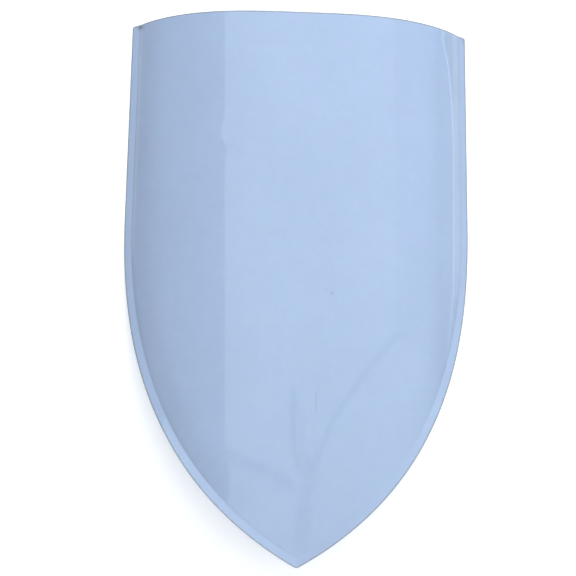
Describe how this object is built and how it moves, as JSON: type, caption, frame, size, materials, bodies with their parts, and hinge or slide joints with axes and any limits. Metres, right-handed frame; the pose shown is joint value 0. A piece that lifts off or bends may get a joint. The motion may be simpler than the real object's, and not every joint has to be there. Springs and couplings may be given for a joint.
{
  "type": "heater shield",
  "caption": "Heater shield bent from one painted steel sheet, with a straight top edge, a pointed foot and a rim turned out along both sides.",
  "frame": {"origin": "on the ground, below the middle of the outline, with the shield lying face up on its two straight rims", "axes": "+X to the right of someone who looks at the face with its top edge up, +Y towards the top edge, +Z out of the face"},
  "size_m": [0.5322, 0.82, 0.08],
  "materials": {
    "blue_paint": "pale blue paint with a soft gloss"
  },
  "bodies": {
    "root": {"shield_shell": "blue_paint"}
  },
  "joints": []
}
